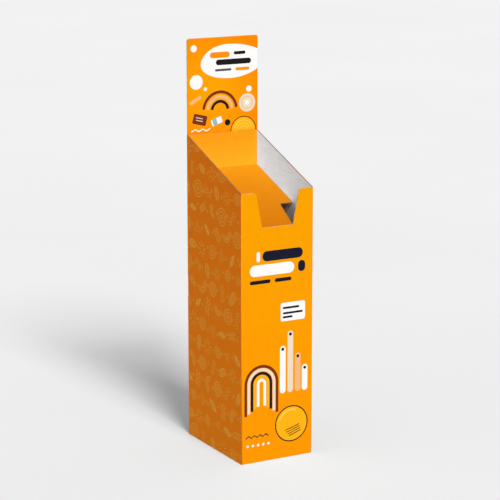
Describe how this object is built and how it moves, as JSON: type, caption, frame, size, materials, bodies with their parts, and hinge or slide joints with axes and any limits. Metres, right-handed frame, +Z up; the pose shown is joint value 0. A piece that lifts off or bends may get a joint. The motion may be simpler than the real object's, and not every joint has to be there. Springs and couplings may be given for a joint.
{
  "type": "cardboard display stand",
  "caption": "Tall corrugated floor display with a sloping notched mouth, a product chute and a header card at the back.",
  "frame": {"origin": "on the floor, under the middle of the stand", "axes": "+Z up, front panel with its notch towards -Y, header at the back towards +Y, +X across the width"},
  "size_m": [0.3, 0.425, 1.53],
  "materials": {
    "printed_board": "satin orange print",
    "white_liner": "matt white liner",
    "plain_board": "matt brown liner",
    "fluting": "matt brown fluting"
  },
  "bodies": {
    "root": {"outer_sleeve": "printed_board", "chute": "printed_board", "header_card": "printed_board", "inner_riser": "plain_board", "base_tray": "plain_board"}
  },
  "joints": []
}
